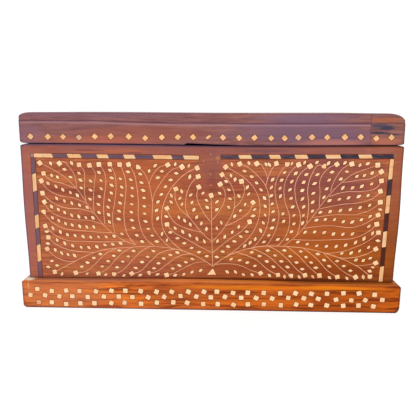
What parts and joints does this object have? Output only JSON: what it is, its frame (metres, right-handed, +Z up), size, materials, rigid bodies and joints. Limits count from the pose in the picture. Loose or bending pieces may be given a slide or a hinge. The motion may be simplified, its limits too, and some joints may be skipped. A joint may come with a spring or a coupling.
{
  "type": "bone inlay box",
  "caption": "Hardwood keepsake box on a plinth, with a lift-off lid, a fern pattern in bone inlay and a border of bone and ebony strips.",
  "frame": {"origin": "middle of the underside, on the surface that the box stands on", "axes": "+X to the right as seen from the front, +Y towards the back, +Z up; the inlaid front faces -Y"},
  "size_m": [0.3164, 0.2134, 0.1631],
  "materials": {
    "lid_wood": "satin varnish on a purple-brown hardwood",
    "lid_end_wood": "satin varnish over end grain with dark streaks",
    "body_wood": "satin varnish on a red-brown hardwood",
    "plinth_wood": "satin varnish on an orange-brown hardwood",
    "bone": "polished bone, warm cream, with faint grain",
    "ebony": "satin dark wood"
  },
  "bodies": {
    "root": {"body_back_board": "body_wood", "body_floor_board": "body_wood", "body_front_board": "body_wood", "body_left_board": "body_wood", "body_right_board": "body_wood", "border_left_1_ebony": "ebony", "border_left_2_bone": "bone", "border_left_3_ebony": "ebony", "border_left_4_bone": "bone", "border_left_5_ebony": "ebony", "border_left_6_bone": "bone", "border_left_7_ebony": "ebony", "border_right_1_bone": "bone", "border_right_2_bone": "bone", "border_right_3_ebony": "ebony", "border_right_4_bone": "bone", "border_right_5_bone": "bone", "border_right_6_ebony": "ebony", "border_right_7_bone": "bone", "border_right_8_ebony": "ebony", "border_right_9_bone": "bone", "border_top_left_10_ebony": "ebony", "border_top_left_11_bone": "bone", "border_top_left_12_ebony": "ebony", "border_top_left_13_bone": "bone", "border_top_left_1_bone": "bone", "border_top_left_2_bone": "bone", "border_top_left_3_ebony": "ebony", "border_top_left_4_bone": "bone", "border_top_left_5_bone": "bone", "border_top_left_6_ebony": "ebony", "border_top_left_7_bone": "bone", "border_top_left_8_ebony": "ebony", "border_top_left_9_bone": "bone", "border_top_right_10_bone": "bone", "border_top_right_11_ebony": "ebony", "border_top_right_1_ebony": "ebony", "border_top_right_2_bone": "bone", "border_top_right_3_ebony": "ebony", "border_top_right_4_bone": "bone", "border_top_right_5_ebony": "ebony", "border_top_right_6_bone": "bone", "border_top_right_7_ebony": "ebony", "border_top_right_8_bone": "bone", "border_top_right_9_ebony": "ebony", "lid_back_rail": "lid_wood", "lid_front_rail": "lid_wood", "lid_left_rail": "lid_wood", "lid_right_rail": "lid_end_wood", "lid_top_board": "lid_wood", "lid_top_end_board": "lid_end_wood", "plinth_back_rail": "plinth_wood", "plinth_front_rail": "plinth_wood", "plinth_left_rail": "plinth_wood", "plinth_right_rail": "plinth_wood"}
  },
  "joints": []
}
